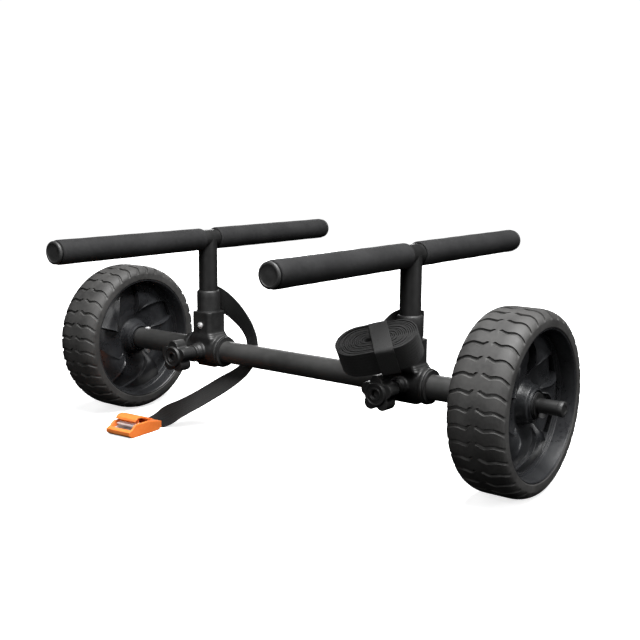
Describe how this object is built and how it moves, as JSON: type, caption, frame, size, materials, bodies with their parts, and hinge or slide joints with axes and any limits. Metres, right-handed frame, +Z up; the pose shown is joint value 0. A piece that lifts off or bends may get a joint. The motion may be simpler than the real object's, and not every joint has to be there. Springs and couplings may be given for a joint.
{
  "type": "two-wheel bunk cart",
  "caption": "Two-wheel cart with a round cross tube, sliding clamp sockets, padded bunks, airless tyres on dished rims, and webbing straps with a cam buckle.",
  "frame": {"origin": "on the floor, midway between the wheels and under the axle", "axes": "+X along the cross tube, towards the right wheel; +Y to the rear, along the bunks; +Z up. The clamp knobs face -Y"},
  "size_m": [0.896, 0.622, 0.3297],
  "materials": {
    "black_steel": "black powder coat, satin",
    "zinc": "bright zinc plate",
    "brass": "machined",
    "tyre": "airless tyre, matt",
    "rim": "moulded black plastic, satin",
    "black_plastic": "glass-filled nylon, matt",
    "bush": "black nylon",
    "foam": "closed-cell foam sleeve, matt",
    "webbing": "woven polyester webbing",
    "band": "woven elastic band",
    "orange": "moulded orange cover, satin"
  },
  "bodies": {
    "axle": {"cross_tube": "black_steel", "left_axle_plug": "black_plastic", "right_axle_plug": "black_plastic", "left_axle_stub": "black_steel", "right_axle_stub": "black_steel", "axle_bolts": "zinc", "axle_nuts": "zinc", "axle_washers": "black_steel", "stub_caps": "black_plastic", "left_button_spring": "zinc", "right_button_spring": "zinc"},
    "left_wheel": {"left_tyre": "tyre", "left_rim": "rim", "left_bushes": "bush"},
    "left_button": {"left_snap_button": "zinc"},
    "left_slider": {"left_liner": "black_plastic"},
    "left_stand": {"left_t_socket": "black_plastic", "left_insert": "brass", "left_sleeve": "black_plastic", "left_post": "black_steel", "left_bunk_tube": "black_steel", "left_foam_front": "foam", "left_foam_rear": "foam", "left_end_caps": "black_plastic", "left_post_screw": "zinc", "left_anchor_screw": "zinc", "left_strap": "webbing", "left_buckle_boot": "orange", "left_buckle_frame": "zinc", "left_cam_pin": "zinc"},
    "left_clamp": {"left_clamp_pad": "brass"},
    "left_screw": {"left_stud": "zinc", "left_knob": "black_plastic"},
    "right_wheel": {"right_tyre": "tyre", "right_rim": "rim", "right_bushes": "bush"},
    "right_button": {"right_snap_button": "zinc"},
    "right_slider": {"right_liner": "black_plastic"},
    "right_stand": {"right_t_socket": "black_plastic", "right_insert": "brass", "right_sleeve": "black_plastic", "right_post": "black_steel", "right_bunk_tube": "black_steel", "right_foam_front": "foam", "right_foam_rear": "foam", "right_end_caps": "black_plastic", "right_post_screw": "zinc", "right_anchor_screw": "zinc", "right_strap_lead": "webbing", "right_strap_roll": "webbing", "right_roll_band": "band"},
    "right_clamp": {"right_clamp_pad": "brass"},
    "right_screw": {"right_stud": "zinc", "right_knob": "black_plastic"},
    "left_buckle_lever": {"left_buckle_cam": "zinc", "left_buckle_lever": "orange"}
  },
  "joints": [
    {"name": "left_wheel_spin", "type": "hinge", "parent": "axle", "child": "left_wheel", "pos_m": [-0.38, 0, 0.127], "axis": [1, 0, 0], "continuous": true},
    {"name": "left_button_press", "type": "slide", "parent": "axle", "child": "left_button", "axis": [0, 0, 1], "range_m": [0, 0.0055], "stiffness_N_per_m": 1500, "springref_m": -0.004, "deforming": ["left_button_spring"]},
    {"name": "left_stand_slide", "type": "slide", "parent": "axle", "child": "left_slider", "axis": [1, 0, 0], "range_m": [-0.085, 0.1]},
    {"name": "left_stand_tilt", "type": "hinge", "parent": "left_slider", "child": "left_stand", "pos_m": [-0.184, 0, 0.127], "axis": [1, 0, 0], "range_deg": [-15, 15]},
    {"name": "left_knob_turn", "type": "hinge", "parent": "left_clamp", "child": "left_screw", "pos_m": [-0.184, -0.07, 0.127], "axis": [0, -1, 0], "range_deg": [0, 1080]},
    {"name": "left_clamp_travel", "type": "slide", "parent": "left_stand", "child": "left_clamp", "axis": [0, -1, 0], "range_m": [0, 0.0045]},
    {"name": "right_wheel_spin", "type": "hinge", "parent": "axle", "child": "right_wheel", "pos_m": [0.38, 0, 0.127], "axis": [1, 0, 0], "continuous": true},
    {"name": "right_button_press", "type": "slide", "parent": "axle", "child": "right_button", "axis": [0, 0, 1], "range_m": [0, 0.0055], "stiffness_N_per_m": 1500, "springref_m": -0.004, "deforming": ["right_button_spring"]},
    {"name": "right_stand_slide", "type": "slide", "parent": "axle", "child": "right_slider", "axis": [1, 0, 0], "range_m": [-0.1, 0.07]},
    {"name": "right_stand_tilt", "type": "hinge", "parent": "right_slider", "child": "right_stand", "pos_m": [0.21, 0, 0.127], "axis": [1, 0, 0], "range_deg": [-15, 15]},
    {"name": "right_knob_turn", "type": "hinge", "parent": "right_clamp", "child": "right_screw", "pos_m": [0.21, -0.07, 0.127], "axis": [0, -1, 0], "range_deg": [0, 1080]},
    {"name": "right_clamp_travel", "type": "slide", "parent": "right_stand", "child": "right_clamp", "axis": [0, -1, 0], "range_m": [0, 0.0045]},
    {"name": "left_buckle_press", "type": "hinge", "parent": "left_stand", "child": "left_buckle_lever", "pos_m": [-0.24114, -0.117, 0.011], "axis": [0.9976, 0.0698, 0], "range_deg": [0, 12], "stiffness_Nm_per_rad": 0.6, "springref_deg": -20.05}
  ],
  "couplings": [
    {"joint": "left_clamp_travel", "follows": "left_knob_turn", "m_per_rad": 0.00023873},
    {"joint": "right_clamp_travel", "follows": "right_knob_turn", "m_per_rad": 0.00023873}
  ]
}
